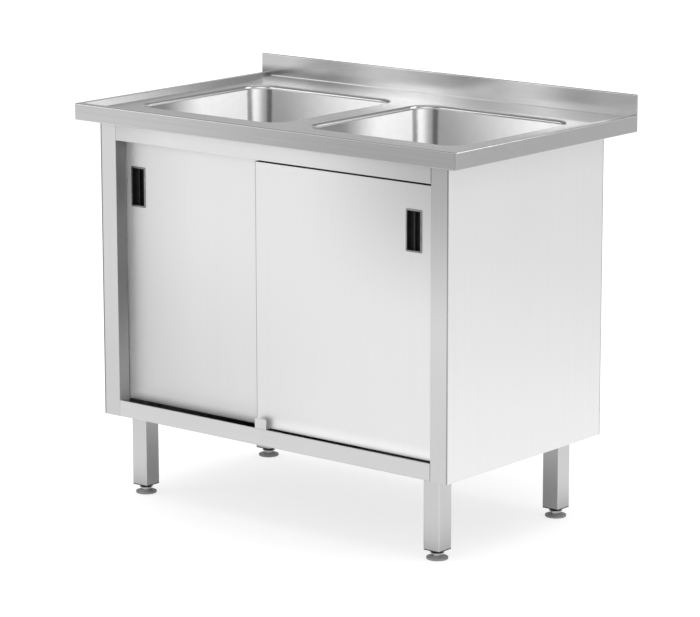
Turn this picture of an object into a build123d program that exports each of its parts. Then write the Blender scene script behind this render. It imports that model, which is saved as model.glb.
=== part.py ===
from build123d import *
import math
import os

# Free-standing kitchen sink unit in sheet steel: a worktop with two bowls and a low upstand, on a
# cabinet with two sliding doors and four square legs with levelling feet.
# Millimetres. The origin is on the floor, under the centre of the worktop's outline.
# +X runs along the worktop to the right, -Y is the front with the doors, +Z is up.

# ---- worktop -------------------------------------------------------------------------------------
top_length = 1000.0
top_depth = 600.0
top_height = 834.0          # raised rim above the floor, with the feet screwed right in
top_sheet = 1.2
edge_height = 35.0          # downturned edge
edge_corner_radius = 4.0
edge_roll_radius = 2.0
hem_width = 12.0            # edge folded back in underneath
hem_fold_radius = 2.0
rim_width = 14.0
rim_slope = 25.0            # run of the slope from the rim down to the deck
deck_drop = 9.0
deck_corner_radius = 10.0
deck_fold_radius = 5.0      # where the slope meets the deck
rim_fold_radius = 3.0       # where the rim turns down into the slope
upstand_height = 42.0
upstand_thickness = 5.0
rear_rise_length = 90.0     # rear strip of the deck that climbs to the upstand
rear_rise_height = 4.0

# ---- bowls and wastes ----------------------------------------------------------------------------
bowl_side_margin = 79.0     # worktop's end to the nearer bowl
bowl_front_margin = 102.0
bowl_rear_margin = 108.0
bowl_spacing = 70.0         # between the two bowls
bowl_depth = 200.0
bowl_corner_radius = 45.0
bowl_floor_radius = 25.0
bowl_draft = 1.5            # degrees
bowl_sheet = 1.0
lip_radius = 6.0            # deck rolled down into the bowl
lip_depth = 8.0
waste_seat_depth = 2.5
waste_seat_margin = 2.0
waste_flange_radius = 42.0
waste_flange_thickness = 1.6
waste_body_radius = 27.0    # held by the back nut under the bowl
waste_body_length = 17.0
waste_tail_radius = 24.0    # takes a trap's union nut
waste_tail_length = 43.0
waste_wall = 3.0
waste_fit = 0.5             # body in the gasket's hole and in the nut
waste_hole_margin = 2.0     # body in the bowl's hole
strainer_drop = 4.0
strainer_thickness = 2.0
strainer_hole_radius = 2.5
strainer_rings = {9.0: 6, 16.5: 12}  # radius of each ring of holes, and its holes
gasket_thickness = 3.0
gasket_ring_width = 12.0
waste_nut_height = 10.0
waste_nut_wall = 11.0

# ---- cabinet body --------------------------------------------------------------------------------
side_overhang = 42.0
front_overhang = 32.5
rear_overhang = 57.0
body_bottom = 172.5
body_sheet = 1.0
bend_radius = 1.5
side_flange = 20.0
rear_flange = 15.0
seam_gap = 0.6              # side panel's front edge behind the post's face
post_width = 43.0
post_depth = 31.0
post_sheet = 1.2
post_radius = 2.0
rail_sheet = 1.2
top_rail_height = 63.5
header_depth = 50.0
header_height = 32.0
rail_return = 7.0
bottom_rail_height = 35.0
rail_hem_thickness = 3.0
rail_hem_height = 10.0
rail_hem_radius = 1.2
rail_foot = 14.0
floor_rise = 17.5           # inside floor above the body's underside
floor_sheet = 1.2
rear_rail_depth = 25.0
rear_rail_height = 26.0
stiffener_width = 60.0
stiffener_height = 20.0
joint_gap = 0.3             # between pieces that meet without a weld
service_length = 300.0      # opening for pipes in the back panel
service_height = 200.0
service_sill = 80.0
service_radius = 6.0
service_collar = 10.0       # edge of the opening, turned into the cabinet

# ---- legs and feet -------------------------------------------------------------------------------
leg_side = 40.0
leg_wall = 1.5
leg_radius = 2.5
leg_bottom = 21.0
leg_side_inset = 66.0       # body's side to the leg's axis
leg_front_inset = 53.5
leg_rear_inset = 59.4
leg_plate_length = 90.0
leg_plate_thickness = 3.0
bolt_radius = 3.0
bolt_hole_margin = 0.25
bolt_head_width = 10.0      # across flats
bolt_head_height = 4.0
bolt_nut_height = 5.0
bolt_grip_end = 7.0         # thread above the cabinet's floor
bolt_pitch_across = 22.0
bolt_pitch_along = 68.0
plug_rim = 2.0
plug_boss_radius = 11.3
plug_boss_height = 4.0
plug_insert = 25.0
plug_fit = 0.05
foot_radius = 22.0
foot_rim_height = 4.0
foot_chamfer = 1.0
foot_height = 7.0
foot_socket_floor = 2.5
stem_radius = 5.0
stem_fit = 0.06
stem_flange_radius = 14.0
stem_flange_thickness = 1.5
stem_hex_width = 19.0       # across flats
stem_stop_gap = 1.0         # stem flange under the plug with the foot screwed in
stem_reach = 50.0           # stem above its flange

# ---- sliding doors -------------------------------------------------------------------------------
door_overlap = 69.0
door_tuck = 16.0            # rear door's outer edge behind the post
door_side_gap = 1.0
door_thickness = 15.0
door_skin = 1.0
door_lip = 12.0
door_inner_margin = 2.0
door_edge_radius = 1.5
door_recess = 12.0          # front door behind the face of the frame
door_lane_pitch = 20.0
door_top_gap = 5.3          # below the top rail's edge
door_drop = 1.5             # below the bottom rail's top
pull_length = 85.0
pull_width = 40.0
pull_frame = 3.5
pull_proud = 1.2
pull_radius = 3.0
pull_setback = 49.0         # door's outer edge to the pull's centre
pull_top_distance = 93.0    # door's top to the pull's centre
pull_depth = 11.5
pull_wall = 1.5
pull_fit = 0.2
pull_rib = 1.5
pull_rib_drop = 2.5

# ---- door gear -----------------------------------------------------------------------------------
track_wall = 2.0
track_height = 29.8
track_slot = 7.0
track_end_gap = 1.0
hanger_spacing = 340.0
hanger_plate = 2.0
hanger_width = 28.0
hanger_foot_length = 60.0
hanger_foot_width = 12.0
hanger_screw_pitch = 48.0
roller_radius = 11.0
roller_width = 6.0
roller_lift = 0.3           # roller above its ledge
roller_side_gap = 0.3
axle_radius = 3.0
axle_fit = 0.06
axle_head_radius = 4.5
axle_head = 0.8
screw_radius = 2.0
screw_hole_margin = 0.2
screw_head_radius = 3.8
screw_head_height = 2.0
screw_length = 12.0
track_screw_count = 5
stop_length = 12.0
stop_height = 17.0
stop_gap = 0.5
guide_width = 30.0
guide_centre = -22.5
guide_height = 21.5         # tab above the bottom rail
guide_sheet = 1.5
guide_clearance = 1.0
guide_corner_radius = 4.0

same_height = 0.01          # edges this near a level count as lying on it

# ---- places that follow from the sizes above -----------------------------------------------------
deck_z = top_height - deck_drop
deck_under = deck_z - top_sheet
edge_bottom = top_height - edge_height
half_length = top_length / 2
top_front = -top_depth / 2
top_back = top_depth / 2
upstand_face = top_back - upstand_thickness
slope_angle = math.atan2(deck_drop, rim_slope)

bowl_length = (top_length - 2 * bowl_side_margin - bowl_spacing) / 2
bowl_width = top_depth - bowl_front_margin - bowl_rear_margin
bowl_x = (bowl_spacing + bowl_length) / 2
bowl_y = top_front + bowl_front_margin + bowl_width / 2
bowl_floor = deck_z - bowl_depth
waste_seat = bowl_floor - waste_seat_depth
waste_hole_radius = waste_body_radius + waste_hole_margin
waste_body_end = waste_seat - waste_body_length
waste_tail_end = waste_body_end - waste_tail_length

body_side = half_length - side_overhang
body_front = top_front + front_overhang
body_back = top_back - rear_overhang
body_top = deck_under
post_inner = body_side - body_sheet - post_width
post_back = body_front + post_depth
opening_top = body_top - top_rail_height
opening_bottom = body_bottom + bottom_rail_height
floor_top = body_bottom + floor_rise
header_bottom = body_top - header_height
header_back = body_front + header_depth
rear_rail_front = body_back - body_sheet - rear_rail_depth

leg_x = body_side - leg_side_inset
leg_front = body_front + leg_front_inset
leg_rear = body_back - leg_rear_inset
leg_places = {
    "front_left": (-leg_x, leg_front),
    "front_right": (leg_x, leg_front),
    "rear_left": (-leg_x, leg_rear),
    "rear_right": (leg_x, leg_rear),
}
leg_plate_top = floor_top - floor_sheet
plug_under = leg_bottom - plug_rim - plug_boss_height
stem_flange_top = plug_under - stem_stop_gap

door_top = opening_top - door_top_gap
door_bottom = opening_bottom - door_drop
door_height = door_top - door_bottom
door_z = (door_top + door_bottom) / 2
door_width = (2 * post_inner - door_side_gap + door_tuck + door_overlap) / 2
left_door_x = door_width / 2 - post_inner - door_tuck
right_door_x = post_inner - door_side_gap - door_width / 2
left_travel = 2 * (post_inner + door_tuck) - door_width
right_travel = 2 * (post_inner - door_side_gap) - door_width
pull_z = door_top - pull_top_distance
lane_front = body_front + door_recess + door_thickness / 2
lane_rear = lane_front + door_lane_pitch
lane_middle = (lane_front + lane_rear) / 2
track_half = post_inner - track_end_gap
track_ledge_top = header_bottom - track_height + track_wall
axle_z = track_ledge_top + roller_lift + roller_radius
hanger_top_margin = axle_head_radius + hanger_plate
screw_hole = screw_radius + screw_hole_margin


def write(piece, name):
    piece.label = name
    export_step(piece, f"parts/{name}.step")


def span(low_x, high_x, low_y, high_y, mode=Mode.ADD):
    """Rectangle between two pairs of sketch coordinates."""
    with Locations(((low_x + high_x) / 2, (low_y + high_y) / 2)):
        Rectangle(high_x - low_x, high_y - low_y, mode=mode)


def upright(y):
    """Vertical plane at depth y, seen from the front: sketch X is +X and sketch Y is +Z."""
    return Plane.XZ.offset(-y)


def folded(plane, points, sheet, radii, length, side=Side.RIGHT):
    """Sheet whose outer face follows the points, bent at each, and extruded off the plane."""
    with BuildPart() as fold:
        with BuildSketch(plane):
            with BuildLine():
                FilletPolyline(*points, radius=radii)
                offset(amount=sheet, side=side)
            make_face()
        extrude(amount=length)
    return fold.part


# ---- worktop: one sheet, pressed, folded and welded at the corners -------------------------------
def deck_tray(grow):
    """Space over the deck inside the raised rim, or, grown by the sheet, that space and the sheet."""
    shift = grow * math.tan(slope_angle / 2)
    lip_x = half_length - rim_width + shift
    lip_y = top_front + rim_width - shift
    low, high = deck_z - grow, top_height - grow
    rise_start, back = upstand_face - rear_rise_length, upstand_face + grow
    back_low = low + rear_rise_height * (back - rise_start) / rear_rise_length
    with BuildPart() as tray:
        with BuildSketch(Plane.YZ):
            with BuildLine():
                Polyline((lip_y, high), (lip_y + rim_slope, low), (rise_start, low),
                         (back, back_low), (back, high), close=True)
            make_face()
        extrude(amount=lip_x, both=True)
        with BuildSketch(Plane.XZ):
            with BuildLine():
                Polyline((-lip_x, high), (rim_slope - lip_x, low), (lip_x - rim_slope, low),
                         (lip_x, high), close=True)
            make_face()
        extrude(amount=top_depth, both=True, mode=Mode.INTERSECT)
        mitres = tray.edges().filter_by(
            lambda e: e.center().Y < rise_start and low < e.center().Z < high
            and abs(e.center().X) > lip_x - rim_slope)
        fillet(mitres, deck_corner_radius + grow)
        folds = tray.edges().filter_by(
            lambda e: e.center().Z < (low + back_low) / 2 + same_height
            and not (abs(e.center().X) < 1 and e.center().Y > 0))
        fillet(folds, deck_fold_radius + grow)
    return tray.part


def make_worktop():
    tray_space = deck_tray(0)
    tray_sheet = deck_tray(top_sheet)
    bowl_places = [(-bowl_x, bowl_y), (bowl_x, bowl_y)]
    upstand_y = top_back - upstand_thickness / 2
    with BuildPart() as worktop:
        with BuildSketch(Plane.XY.offset(edge_bottom)):
            Rectangle(top_length, top_depth)
        extrude(amount=edge_height)
        with BuildSketch(Plane.XY.offset(edge_bottom)):
            with Locations((0, upstand_y)):
                Rectangle(top_length, upstand_thickness)
        extrude(amount=edge_height + upstand_height)
        fillet(worktop.edges().filter_by(Axis.Z).group_by(Axis.Y)[0], edge_corner_radius)
        fillet(worktop.edges().group_by(Axis.Z)[0], hem_fold_radius)
        rim_edges = worktop.edges().filter_by(lambda e: abs(e.center().Z - top_height) < same_height)
        fillet(rim_edges.filter_by(lambda e: e.center().Y < upstand_face - 1), edge_roll_radius)
        fillet(worktop.edges().filter_by(Axis.X).group_by(Axis.Z)[-1], edge_roll_radius)
        with BuildSketch(Plane.XY.offset(edge_bottom + top_sheet)):
            Rectangle(top_length - 2 * top_sheet, top_depth - 2 * top_sheet)
        extrude(amount=edge_height - 2 * top_sheet, mode=Mode.SUBTRACT)
        with BuildSketch(Plane.XY.offset(edge_bottom)):
            hem = top_sheet + hem_width
            Rectangle(top_length - 2 * hem, top_depth - 2 * hem)
        extrude(amount=top_sheet, mode=Mode.SUBTRACT)
        with BuildSketch(Plane.XY.offset(edge_bottom + top_sheet)):
            with Locations((0, upstand_y)):
                Rectangle(top_length - 2 * top_sheet, upstand_thickness - 2 * top_sheet)
        extrude(amount=edge_height + upstand_height - 2 * top_sheet, mode=Mode.SUBTRACT)
        add(tray_sheet)
        add(tray_space, mode=Mode.SUBTRACT)
        fillet(worktop.edges().filter_by(
            lambda e: abs(e.center().Z - top_height) < same_height
            and abs(e.center().X) < half_length - rim_width / 2
            and top_front + rim_width / 2 < e.center().Y < upstand_face - 1), rim_fold_radius)
        with BuildSketch(Plane.XY.offset(deck_z - lip_depth)):
            with Locations(*bowl_places):
                RectangleRounded(bowl_length + 2 * top_sheet, bowl_width + 2 * top_sheet,
                                 bowl_corner_radius + top_sheet)
        extrude(amount=lip_depth)
        with BuildSketch(Plane.XY.offset(deck_z - lip_depth)):
            with Locations(*bowl_places):
                RectangleRounded(bowl_length, bowl_width, bowl_corner_radius)
        extrude(amount=lip_depth + deck_drop, mode=Mode.SUBTRACT)
        near_bowls = worktop.edges().filter_by(
            lambda e: abs(e.center().Y - bowl_y) < bowl_width / 2 + 2 * top_sheet
            and abs(e.center().X) < bowl_x + bowl_length / 2 + 2 * top_sheet)
        fillet(near_bowls.filter_by(lambda e: abs(e.center().Z - deck_under) < same_height),
               lip_radius - top_sheet)
        near_bowls = worktop.edges().filter_by(
            lambda e: abs(e.center().Y - bowl_y) < bowl_width / 2 + top_sheet
            and abs(e.center().X) < bowl_x + bowl_length / 2 + top_sheet)
        fillet(near_bowls.filter_by(lambda e: abs(e.center().Z - deck_z) < same_height), lip_radius)
    return worktop.part


# ---- bowls: pressed, welded under the deck's rolled lip ------------------------------------------
def bowl_space(x, grow):
    """Inside of a bowl, or, grown by the sheet, its outside."""
    lip_z = deck_z - lip_depth
    with BuildPart() as space:
        with BuildSketch(Plane(origin=(x, bowl_y, lip_z), z_dir=(0, 0, -1))):
            RectangleRounded(bowl_length + 2 * grow, bowl_width + 2 * grow,
                             bowl_corner_radius + grow)
        extrude(amount=lip_z - bowl_floor + grow, taper=bowl_draft)
        fillet(space.faces().sort_by(Axis.Z)[0].edges(), bowl_floor_radius + grow)
        with BuildSketch(Plane(origin=(x, bowl_y, waste_seat - grow))):
            Circle(waste_flange_radius + waste_seat_margin + grow)
        extrude(amount=waste_seat_depth + grow)
    return space.part


def make_bowl(x):
    outside = bowl_space(x, bowl_sheet)
    inside = bowl_space(x, 0)
    with BuildPart() as bowl:
        add(outside)
        add(inside, mode=Mode.SUBTRACT)
        with Locations((x, bowl_y, waste_seat)):
            Cylinder(waste_hole_radius, 3 * bowl_sheet, mode=Mode.SUBTRACT)
    return bowl.part


# ---- wastes: strainer flange with a threaded body and tail, gasket and back nut under the bowl ----
def make_waste(x):
    bore = waste_tail_radius - waste_wall
    up = (Align.CENTER, Align.CENTER, Align.MIN)
    strainer_top = waste_seat - strainer_drop
    bore_top = strainer_top - strainer_thickness
    with BuildPart() as waste:
        with Locations((x, bowl_y, waste_seat)):
            Cylinder(waste_flange_radius, waste_flange_thickness, align=up)
        fillet(waste.edges().sort_by(Axis.Z)[-1:], waste_flange_thickness / 2)
        with Locations((x, bowl_y, waste_body_end)):
            Cylinder(waste_body_radius, waste_body_length, align=up)
        with Locations((x, bowl_y, waste_tail_end)):
            Cylinder(waste_tail_radius, waste_tail_length, align=up)
            Cylinder(bore, bore_top - waste_tail_end, align=up, mode=Mode.SUBTRACT)
        with Locations((x, bowl_y, strainer_top)):
            Cylinder(bore, strainer_drop + waste_flange_thickness, align=up, mode=Mode.SUBTRACT)
        with BuildSketch(Plane(origin=(x, bowl_y, strainer_top))):
            Circle(strainer_hole_radius)
            for ring_radius, holes in strainer_rings.items():
                with PolarLocations(ring_radius, holes):
                    Circle(strainer_hole_radius)
        extrude(amount=-strainer_thickness, mode=Mode.SUBTRACT)
    return waste.part


def make_waste_gasket(x):
    with BuildPart() as gasket:
        with BuildSketch(Plane(origin=(x, bowl_y, waste_seat - bowl_sheet))):
            Circle(waste_hole_radius + gasket_ring_width)
            Circle(waste_body_radius + waste_fit, mode=Mode.SUBTRACT)
        extrude(amount=-gasket_thickness)
    return gasket.part


def make_waste_nut(x):
    with BuildPart() as nut:
        with BuildSketch(Plane(origin=(x, bowl_y, waste_seat - bowl_sheet - gasket_thickness))):
            RegularPolygon(waste_body_radius + waste_nut_wall, 6, major_radius=False)
            Circle(waste_body_radius + waste_fit, mode=Mode.SUBTRACT)
        extrude(amount=-waste_nut_height)
    return nut.part


# ---- cabinet body --------------------------------------------------------------------------------
def make_side_panel(side):
    """Skin folded in at the back, with flanges that carry the worktop and the floor panel."""
    outer = side * body_side
    inner = outer - side * body_sheet
    flange_end = outer - side * side_flange
    fold_y = body_back - body_sheet
    skin = folded(
        Plane.XY.offset(body_bottom),
        [(outer, body_front + seam_gap), (outer, fold_y), (outer - side * rear_flange, fold_y)],
        body_sheet, bend_radius, body_top - body_bottom,
        Side.LEFT if side > 0 else Side.RIGHT)
    with BuildPart() as panel:
        add(skin)
        with BuildSketch(Plane.XY.offset(body_bottom), Plane.XY.offset(body_top - body_sheet)):
            span(min(inner, flange_end), max(inner, flange_end), post_back + joint_gap,
                 fold_y - body_sheet)
        extrude(amount=body_sheet)
    return panel.part


def make_post(side):
    with BuildPart() as post:
        with BuildSketch(Plane.XY.offset(body_bottom)):
            with Locations((side * (post_inner + post_width / 2), body_front + post_depth / 2)):
                RectangleRounded(post_width, post_depth, post_radius)
            offset(amount=-post_sheet, mode=Mode.SUBTRACT)
        extrude(amount=body_top - body_bottom)
    return post.part


def make_top_rail():
    """Closed header under the deck, with a skirt that hides the door track."""
    skirt = folded(
        Plane.YZ.offset(-post_inner),
        [(body_front + rail_return, opening_top), (body_front, opening_top),
         (body_front, body_top - header_height / 2)],
        rail_sheet, bend_radius, 2 * post_inner)
    with BuildPart() as rail:
        with BuildSketch(Plane.YZ.offset(-post_inner)):
            with Locations((body_front + header_depth / 2, body_top - header_height / 2)):
                RectangleRounded(header_depth, header_height, bend_radius)
            offset(amount=-rail_sheet, mode=Mode.SUBTRACT)
        extrude(amount=2 * post_inner)
        add(skirt)
        with BuildSketch(Plane.XY.offset(header_bottom)):
            with Locations(*track_screw_places()):
                Circle(screw_hole)
        extrude(amount=rail_sheet, mode=Mode.SUBTRACT)
    return rail.part


def make_bottom_rail():
    """Fascia under the doors, hemmed along its top and footed along its bottom."""
    face_back = body_front + rail_sheet
    hem_back = body_front + rail_hem_thickness
    with BuildPart() as rail:
        with BuildSketch(Plane.YZ.offset(-post_inner)):
            span(body_front, face_back, body_bottom, opening_bottom)
            span(body_front, body_front + rail_foot, body_bottom, body_bottom + rail_sheet)
            span(body_front, hem_back, opening_bottom - rail_sheet, opening_bottom)
            span(hem_back - rail_sheet, hem_back, opening_bottom - rail_hem_height, opening_bottom)
        extrude(amount=2 * post_inner)
        fillet(rail.edges().filter_by(Axis.X).group_by(Axis.Z)[-1], rail_hem_radius)
        front_edges = rail.edges().filter_by(Axis.X).group_by(Axis.Y)[0]
        fillet(front_edges.sort_by(Axis.Z)[:1], bend_radius)
    return rail.part


def make_floor_panel():
    """Floor folded down all round, notched at the two posts."""
    wide = body_side - body_sheet - joint_gap
    narrow = post_inner - joint_gap
    front = body_front + rail_sheet + joint_gap
    notch = post_back + joint_gap
    back = body_back - 2 * body_sheet - joint_gap
    foot_z = body_bottom + rail_sheet
    outline = [(-narrow, front), (narrow, front), (narrow, notch), (wide, notch), (wide, back),
               (-wide, back), (-wide, notch), (-narrow, notch)]
    with BuildPart() as panel:
        with BuildSketch(Plane.XY.offset(foot_z)):
            with BuildLine():
                Polyline(*outline, close=True)
            make_face()
        extrude(amount=floor_top - foot_z)
        with BuildSketch(Plane.XY.offset(foot_z)):
            with BuildLine():
                Polyline(*outline, close=True)
            make_face()
            offset(amount=-floor_sheet, kind=Kind.INTERSECTION, mode=Mode.REPLACE)
        extrude(amount=floor_top - floor_sheet - foot_z, mode=Mode.SUBTRACT)
        with BuildSketch(Plane.XY.offset(floor_top)):
            with Locations(*leg_bolt_places()):
                Circle(bolt_radius + bolt_hole_margin)
        extrude(amount=-floor_sheet, mode=Mode.SUBTRACT)
    return panel.part


def make_back_panel(side):
    """Half of the back, with half of the opening for pipes. The opening's edge is turned in
    as a collar, and the two halves meet in the middle under the rear rail."""
    service_z = floor_top + service_sill + service_height / 2
    grow = 2 * body_sheet
    middle = side * joint_gap / 2
    with BuildPart() as panel:
        with BuildSketch(upright(body_back)):
            span(-body_side, body_side, body_bottom, body_top - joint_gap)
        extrude(amount=body_sheet)
        with BuildSketch(upright(body_back)):
            with Locations((0, service_z)):
                RectangleRounded(service_length + grow, service_height + grow,
                                 service_radius + body_sheet)
        extrude(amount=service_collar)
        with BuildSketch(upright(body_back)):
            with Locations((0, service_z)):
                RectangleRounded(service_length, service_height, service_radius)
        extrude(amount=service_collar, mode=Mode.SUBTRACT)
        split(bisect_by=Plane.YZ.offset(middle), keep=Keep.TOP if side > 0 else Keep.BOTTOM)
    return panel.part


def make_rear_rail():
    half = body_side - side_flange - joint_gap
    low = body_top - rear_rail_height
    rear = rear_rail_front + rear_rail_depth
    return folded(
        Plane.YZ.offset(-half),
        [(rear_rail_front, low), (rear_rail_front, body_top), (rear, body_top), (rear, low)],
        body_sheet, bend_radius, 2 * half)


def make_centre_stiffener():
    half = stiffener_width / 2
    low = body_top - stiffener_height
    rear = rear_rail_front - joint_gap
    return folded(
        upright(rear), [(-half, low), (-half, body_top), (half, body_top), (half, low)],
        body_sheet, bend_radius, rear - header_back - joint_gap)


# ---- legs, screwed up under the floor panel, and their feet --------------------------------------
def leg_bolt_places():
    half_across, half_along = bolt_pitch_across / 2, bolt_pitch_along / 2
    return [(x + i * half_across, y + j * half_along)
            for x, y in leg_places.values() for i in (-1, 1) for j in (-1, 1)]


def make_leg(x, y):
    plate_under = leg_plate_top - leg_plate_thickness
    with BuildPart() as leg:
        with BuildSketch(Plane.XY.offset(leg_bottom)):
            with Locations((x, y)):
                RectangleRounded(leg_side, leg_side, leg_radius)
            offset(amount=-leg_wall, mode=Mode.SUBTRACT)
        extrude(amount=plate_under - leg_bottom)
        with BuildSketch(Plane.XY.offset(plate_under)):
            with Locations((x, y)):
                RectangleRounded(leg_side, leg_plate_length, leg_radius)
                with GridLocations(bolt_pitch_across, bolt_pitch_along, 2, 2):
                    Circle(bolt_radius + bolt_hole_margin, mode=Mode.SUBTRACT)
        extrude(amount=leg_plate_thickness)
    return leg.part


def make_leg_bolts():
    plate_under = leg_plate_top - leg_plate_thickness
    with BuildPart() as bolts:
        with BuildSketch(Plane.XY.offset(plate_under)):
            with Locations(*leg_bolt_places()):
                RegularPolygon(bolt_head_width / 2, 6, major_radius=False)
        extrude(amount=-bolt_head_height)
        with BuildSketch(Plane.XY.offset(plate_under)):
            with Locations(*leg_bolt_places()):
                Circle(bolt_radius)
        extrude(amount=leg_plate_thickness + floor_sheet + bolt_grip_end)
    return bolts.part


def make_leg_nuts():
    with BuildPart() as nuts:
        with BuildSketch(Plane.XY.offset(floor_top)):
            with Locations(*leg_bolt_places()):
                RegularPolygon(bolt_head_width / 2, 6, major_radius=False)
                Circle(bolt_radius + plug_fit, mode=Mode.SUBTRACT)
        extrude(amount=bolt_nut_height)
    return nuts.part


def make_leg_plug(x, y):
    """End plug: rim under the tube, boss for the foot and an insert pushed up into the tube."""
    inner_side = leg_side - 2 * (leg_wall + plug_fit)
    with BuildPart() as plug:
        with BuildSketch(Plane.XY.offset(leg_bottom)):
            with Locations((x, y)):
                RectangleRounded(leg_side, leg_side, leg_radius)
        extrude(amount=-plug_rim)
        with BuildSketch(Plane.XY.offset(plug_under)):
            with Locations((x, y)):
                Circle(plug_boss_radius)
        extrude(amount=plug_boss_height)
        with BuildSketch(Plane.XY.offset(leg_bottom)):
            with Locations((x, y)):
                RectangleRounded(inner_side, inner_side, leg_radius - leg_wall)
        extrude(amount=plug_insert)
        with BuildSketch(Plane.XY.offset(plug_under)):
            with Locations((x, y)):
                Circle(stem_radius + stem_fit)
        extrude(amount=plug_boss_height + plug_rim + plug_insert, mode=Mode.SUBTRACT)
    return plug.part


def make_foot_pad(x, y):
    up = (Align.CENTER, Align.CENTER, Align.MIN)
    hub_radius = stem_hex_width / 2 + plug_rim
    with BuildPart() as pad:
        with Locations((x, y, 0)):
            Cylinder(foot_radius, foot_rim_height, align=up)
        chamfer(pad.edges().sort_by(Axis.Z)[:1], foot_chamfer)
        with Locations((x, y, foot_rim_height)):
            Cone(foot_radius, hub_radius, foot_height - foot_rim_height, align=up)
        with Locations((x, y, foot_socket_floor)):
            Cylinder(stem_radius + stem_fit, foot_height, align=up, mode=Mode.SUBTRACT)
    return pad.part


def make_foot_stem(x, y):
    up = (Align.CENTER, Align.CENTER, Align.MIN)
    flange_under = stem_flange_top - stem_flange_thickness
    with BuildPart() as stem:
        with Locations((x, y, foot_socket_floor)):
            Cylinder(stem_radius, stem_flange_top + stem_reach - foot_socket_floor, align=up)
        with BuildSketch(Plane.XY.offset(foot_height)):
            with Locations((x, y)):
                RegularPolygon(stem_hex_width / 2, 6, major_radius=False)
        extrude(amount=flange_under - foot_height)
        with Locations((x, y, flange_under)):
            Cylinder(stem_flange_radius, stem_flange_thickness, align=up)
    return stem.part


# ---- door gear -----------------------------------------------------------------------------------
def track_screw_places():
    pitch = 2 * track_half / track_screw_count
    with GridLocations(pitch, door_lane_pitch, track_screw_count, 2) as grid:
        return [(place.position.X, place.position.Y + lane_middle)
                for place in grid.local_locations]


def make_track():
    """Two lanes side by side: each a channel with a slot along the bottom between two ledges."""
    ledge = (door_lane_pitch - track_wall - track_slot) / 2
    low = header_bottom - track_height
    with BuildPart() as track:
        with BuildSketch(Plane.YZ.offset(-track_half)):
            for web in (-1, 0, 1):
                y = lane_middle + web * door_lane_pitch
                span(y - track_wall / 2, y + track_wall / 2, low, header_bottom)
            span(lane_middle - door_lane_pitch, lane_middle + door_lane_pitch,
                 header_bottom - track_wall, header_bottom)
            for lane in (lane_front, lane_rear):
                for way in (-1, 1):
                    y = lane + way * (track_slot + ledge) / 2
                    span(y - ledge / 2, y + ledge / 2, low, track_ledge_top)
        extrude(amount=2 * track_half)
        with BuildSketch(Plane.XY.offset(header_bottom)):
            with Locations(*track_screw_places()):
                Circle(screw_hole)
        extrude(amount=-track_wall, mode=Mode.SUBTRACT)
    return track.part


def make_track_screws():
    with BuildPart() as screws:
        with BuildSketch(Plane.XY.offset(header_bottom - track_wall)):
            with Locations(*track_screw_places()):
                Circle(screw_head_radius)
        extrude(amount=-screw_head_height)
        with BuildSketch(Plane.XY.offset(header_bottom - track_wall)):
            with Locations(*track_screw_places()):
                Circle(screw_radius)
        extrude(amount=screw_length)
    return screws.part


def make_track_stops():
    """A block at each end of each lane, met by the hanger's plate."""
    reach = hanger_spacing / 2 + hanger_width / 2 + stop_gap + stop_length / 2
    half_wide = (door_lane_pitch - track_wall) / 2 - joint_gap
    places = [
        (right_door_x + reach, lane_front),
        (right_door_x - right_travel - reach, lane_front),
        (left_door_x - reach, lane_rear),
        (left_door_x + left_travel + reach, lane_rear),
    ]
    with BuildPart() as stops:
        with BuildSketch(Plane.XY.offset(track_ledge_top)):
            with Locations(*places):
                Rectangle(stop_length, 2 * half_wide)
        extrude(amount=stop_height)
    return stops.part


def make_centre_guide():
    """Bent plate on the floor and over the bottom rail, with a tab before, between and behind."""
    rail_tab = body_front + guide_sheet
    before = lane_front - door_thickness / 2 - guide_clearance
    between = lane_front + door_thickness / 2 + guide_clearance
    between_end = lane_rear - door_thickness / 2 - guide_clearance
    behind = lane_rear + door_thickness / 2 + guide_clearance
    top = opening_bottom + guide_height
    over = opening_bottom + guide_sheet
    with BuildPart() as guide:
        with BuildSketch(Plane.YZ.offset(guide_centre - guide_width / 2)):
            span(body_front, rail_tab, opening_bottom, top)
            span(body_front, before, opening_bottom, over)
            span(before - guide_sheet, before, floor_top, over)
            span(before - guide_sheet, behind + guide_sheet, floor_top, floor_top + guide_sheet)
            span(between, between_end, floor_top, top)
            span(behind, behind + guide_sheet, floor_top, top)
        extrude(amount=guide_width)
        fillet(guide.edges().filter_by(Axis.Y).group_by(Axis.Z)[-1], guide_corner_radius)
    return guide.part


# ---- doors: folded pan, inner skin, flush pull, two hangers with rollers --------------------------
def make_door_outer_skin(x, lane, pull_x):
    face = lane - door_thickness / 2
    back = lane + door_thickness / 2 - door_skin
    half_w, half_h = door_width / 2, door_height / 2
    with BuildPart() as pan:
        with BuildSketch(upright(face)):
            with Locations((x, door_z)):
                Rectangle(door_width, door_height)
        extrude(amount=face - back)
        fillet(pan.edges().group_by(Axis.Y)[0], door_edge_radius)
        with BuildSketch(upright(face + door_skin)):
            with Locations((x, door_z)):
                Rectangle(2 * (half_w - door_skin), 2 * (half_h - door_skin))
        extrude(amount=face + 2 * door_skin - back, mode=Mode.SUBTRACT)
        with BuildSketch(upright(back)):
            with Locations((x, door_z)):
                Rectangle(2 * (half_w - door_lip), 2 * (half_h - door_lip))
        extrude(amount=door_skin, mode=Mode.SUBTRACT)
        with BuildSketch(upright(face)):
            with Locations((pull_x, pull_z)):
                RectangleRounded(pull_width - pull_frame, pull_length - pull_frame, pull_radius)
        extrude(amount=-door_skin, mode=Mode.SUBTRACT)
        with BuildSketch(Plane.XY.offset(door_top)):
            with Locations(*hanger_screw_places(x, lane)):
                Circle(screw_hole)
        extrude(amount=-door_skin, mode=Mode.SUBTRACT)
    return pan.part


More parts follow.
